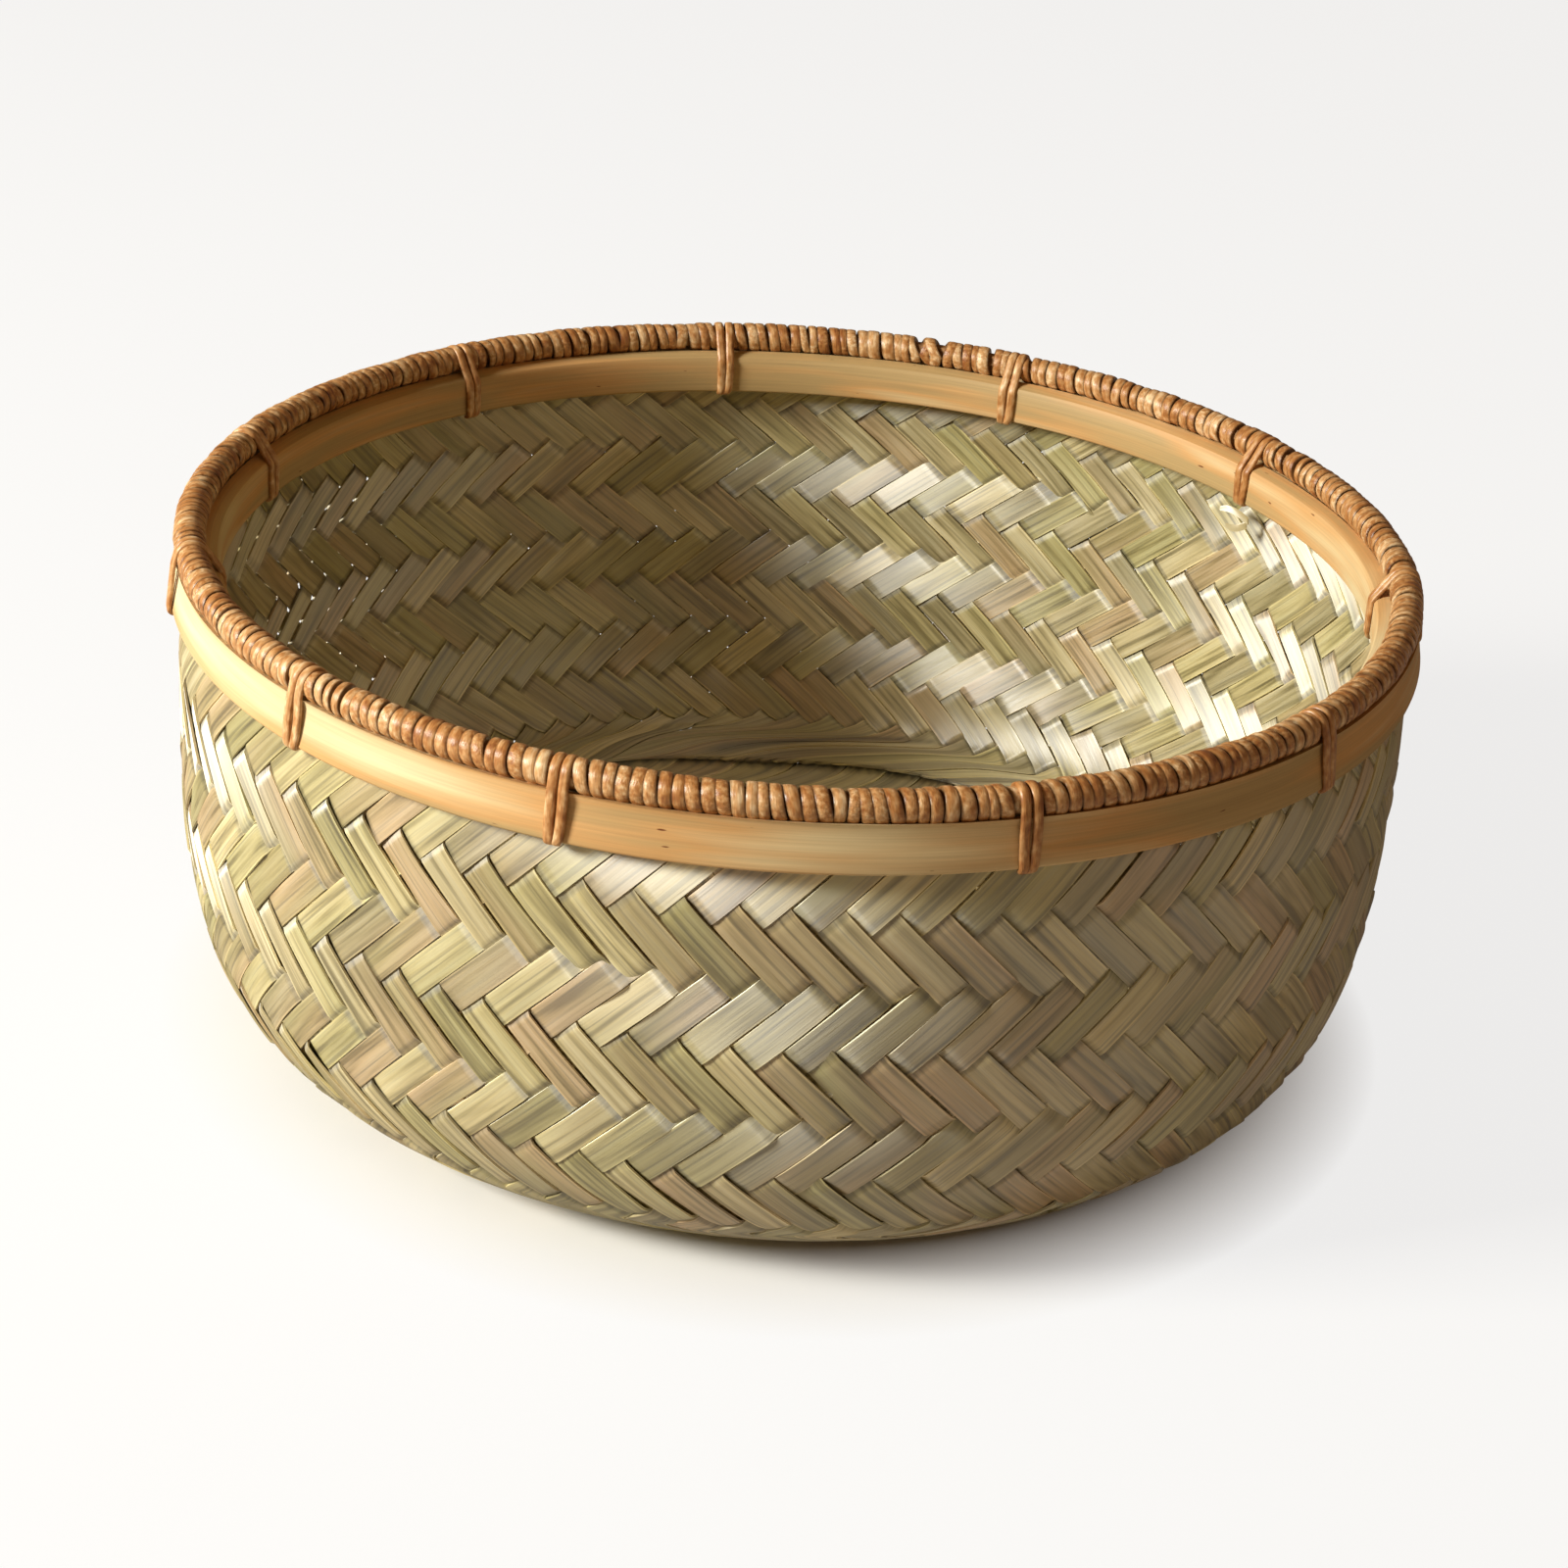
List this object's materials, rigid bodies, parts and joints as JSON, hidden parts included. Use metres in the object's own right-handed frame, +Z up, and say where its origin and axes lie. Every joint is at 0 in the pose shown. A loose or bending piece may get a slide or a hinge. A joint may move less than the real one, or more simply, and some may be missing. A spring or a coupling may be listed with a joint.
{
  "type": "woven fruit basket",
  "caption": "Round open basket plaited from flat bamboo strips, with a flat base, clamped hoops and a bound, lashed rattan rim.",
  "frame": {"origin": "on the surface that the basket stands on, under the middle of its outline", "axes": "+Z up, out of the open mouth; +X to the right as the picture shows the basket"},
  "size_m": [0.2533, 0.2518, 0.109],
  "materials": {
    "bamboo_weave": "unvarnished shaved bamboo strip, satin, straw to grey-green",
    "bamboo_hoop": "planed split bamboo, satin, cream with fine lengthwise grain",
    "rattan_core": "peeled round rattan, matte",
    "rattan_cane": "rattan peel and split cane, caramel brown, half gloss"
  },
  "bodies": {
    "root": {"woven_bowl": "bamboo_weave", "outer_hoop": "bamboo_hoop", "inner_hoop": "bamboo_hoop", "rim_core": "rattan_core", "rim_binding": "rattan_cane", "tie_01": "rattan_cane", "tie_02": "rattan_cane", "tie_03": "rattan_cane", "tie_04": "rattan_cane", "tie_05": "rattan_cane", "tie_06": "rattan_cane", "tie_07": "rattan_cane", "tie_08": "rattan_cane", "tie_09": "rattan_cane", "tie_10": "rattan_cane", "tie_11": "rattan_cane"}
  },
  "joints": []
}
